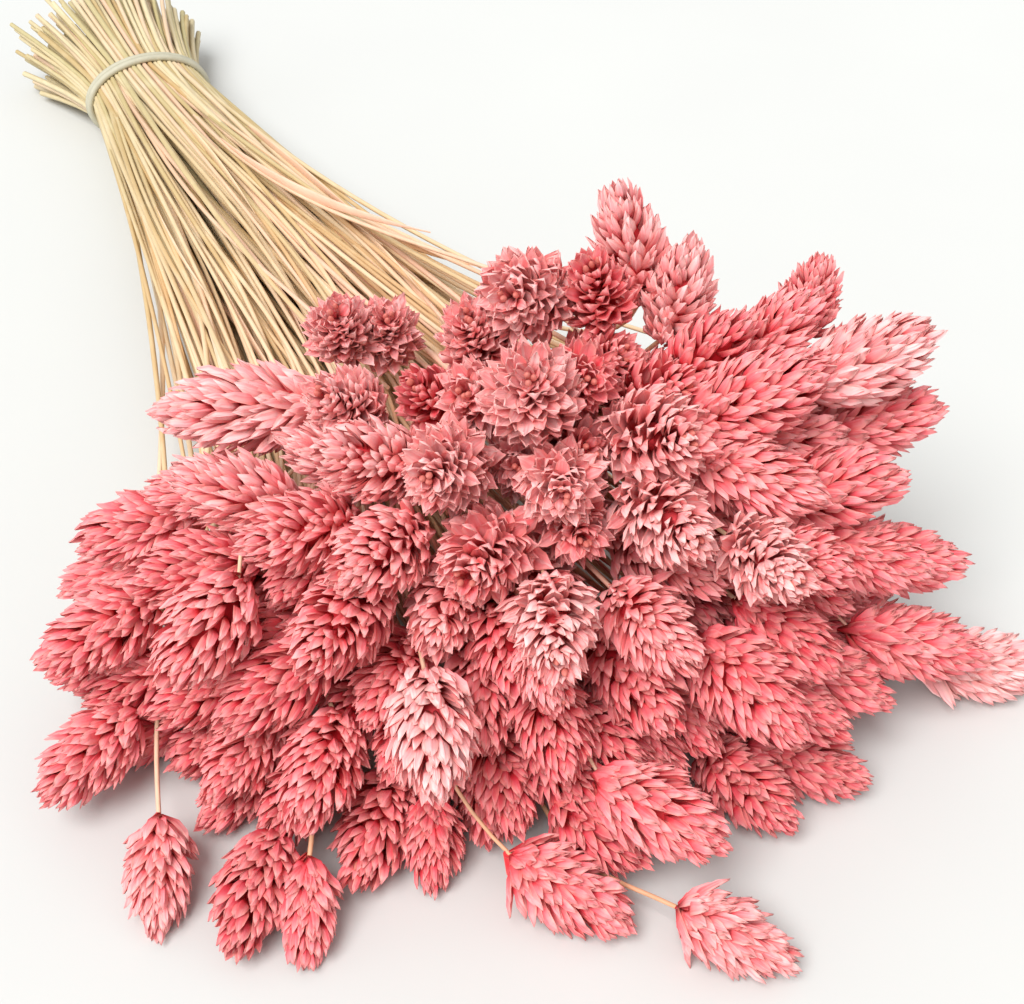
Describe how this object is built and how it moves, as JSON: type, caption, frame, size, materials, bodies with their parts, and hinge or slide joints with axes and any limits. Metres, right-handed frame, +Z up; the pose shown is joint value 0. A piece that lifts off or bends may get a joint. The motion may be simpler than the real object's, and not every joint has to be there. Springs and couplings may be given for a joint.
{
  "type": "dried canary grass",
  "caption": "Tied bunch of dried, dyed canary grass lying on its side: scaly oval seed heads on thin straw stems, held by a rubber band.",
  "frame": {"origin": "on the floor, in the middle of the flat underside of the rubber band's first turn", "axes": "+Z up from the floor that the bunch lies on, +Y along the bunch towards the cut ends, -Y towards the seed heads"},
  "size_m": [0.2572, 0.5323, 0.1357],
  "materials": {
    "dyed_scales": "dry papery scales dyed rose pink, matte",
    "straw": "dry hollow straw, satin",
    "rubber": "pale grey natural rubber, matte"
  },
  "bodies": {
    "root": {"rubber_band": "rubber", "stems": "straw", "seed_head_01": "dyed_scales", "seed_head_02": "dyed_scales", "seed_head_03": "dyed_scales", "seed_head_04": "dyed_scales", "seed_head_05": "dyed_scales", "seed_head_06": "dyed_scales", "seed_head_07": "dyed_scales", "seed_head_08": "dyed_scales", "seed_head_09": "dyed_scales", "seed_head_10": "dyed_scales", "seed_head_11": "dyed_scales", "seed_head_12": "dyed_scales", "seed_head_13": "dyed_scales", "seed_head_14": "dyed_scales", "seed_head_15": "dyed_scales", "seed_head_16": "dyed_scales", "seed_head_17": "dyed_scales", "seed_head_18": "dyed_scales", "seed_head_19": "dyed_scales", "seed_head_20": "dyed_scales", "seed_head_21": "dyed_scales", "seed_head_22": "dyed_scales", "seed_head_23": "dyed_scales", "seed_head_24": "dyed_scales", "seed_head_25": "dyed_scales", "seed_head_26": "dyed_scales", "seed_head_27": "dyed_scales", "seed_head_28": "dyed_scales", "seed_head_29": "dyed_scales", "seed_head_30": "dyed_scales", "seed_head_31": "dyed_scales", "seed_head_32": "dyed_scales", "seed_head_33": "dyed_scales", "seed_head_34": "dyed_scales", "seed_head_35": "dyed_scales", "seed_head_36": "dyed_scales", "seed_head_37": "dyed_scales", "seed_head_38": "dyed_scales", "seed_head_39": "dyed_scales", "seed_head_40": "dyed_scales", "seed_head_41": "dyed_scales", "seed_head_42": "dyed_scales", "seed_head_43": "dyed_scales", "seed_head_44": "dyed_scales", "seed_head_45": "dyed_scales", "seed_head_46": "dyed_scales", "seed_head_47": "dyed_scales", "seed_head_48": "dyed_scales", "seed_head_49": "dyed_scales", "seed_head_50": "dyed_scales", "seed_head_51": "dyed_scales", "seed_head_52": "dyed_scales", "seed_head_53": "dyed_scales", "seed_head_54": "dyed_scales", "seed_head_55": "dyed_scales", "seed_head_56": "dyed_scales", "seed_head_57": "dyed_scales", "seed_head_58": "dyed_scales"}
  },
  "joints": []
}
